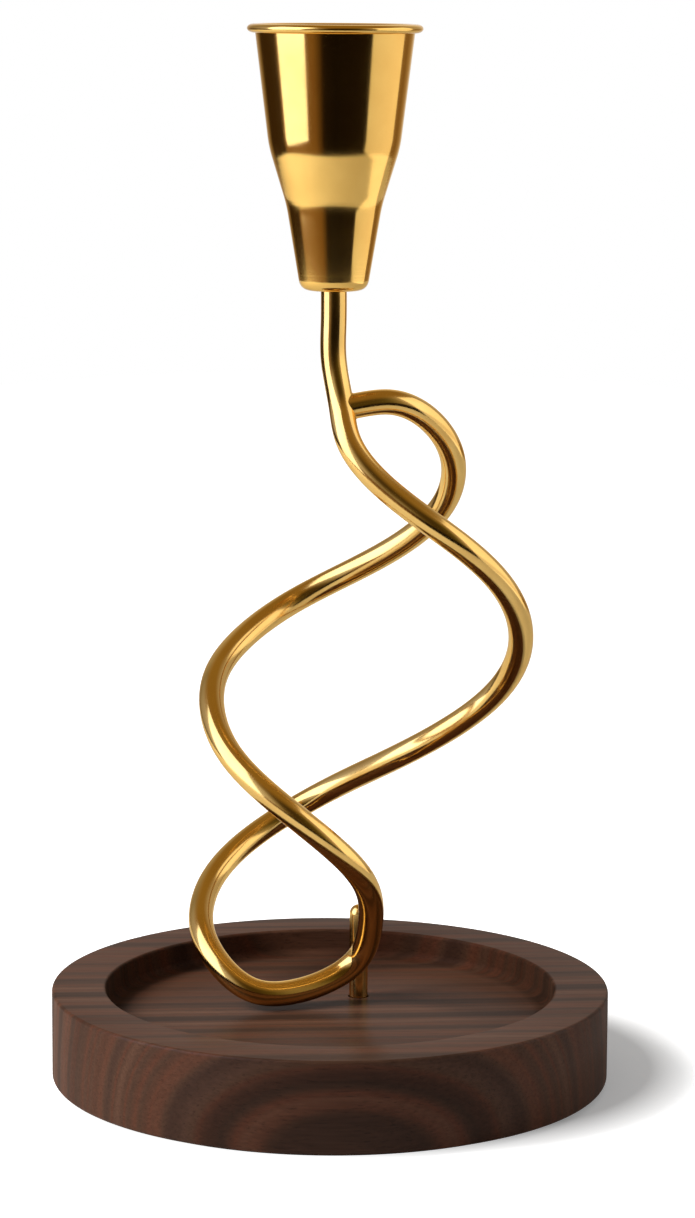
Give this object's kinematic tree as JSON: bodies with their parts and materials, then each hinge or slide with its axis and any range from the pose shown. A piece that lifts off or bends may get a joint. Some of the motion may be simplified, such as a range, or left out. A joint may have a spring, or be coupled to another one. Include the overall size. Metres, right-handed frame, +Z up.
{
  "type": "candle holder",
  "caption": "Taper candle holder: flared polished brass cup on a brass rod bent in an open double-loop swirl, brazed to a post on a turned walnut base with a shallow dish.",
  "frame": {"origin": "on the table under the middle of the base", "axes": "+Z up along the cup and base axis, +X to the viewer's right, -Y towards the viewer"},
  "size_m": [0.14, 0.14, 0.2638],
  "materials": {
    "walnut": "turned walnut under satin lacquer",
    "brass": "polished",
    "braze": "polished brazing metal",
    "steel": "zinc plated",
    "felt": "pressed felt"
  },
  "bodies": {
    "root": {"base": "walnut", "felt_pad": "felt", "swirl_rod": "brass", "post": "brass", "candle_cup": "brass", "cup_screw": "brass", "cup_washer": "brass", "stem_braze": "braze", "post_braze": "braze", "post_screw": "steel", "post_washer": "steel"}
  },
  "joints": []
}
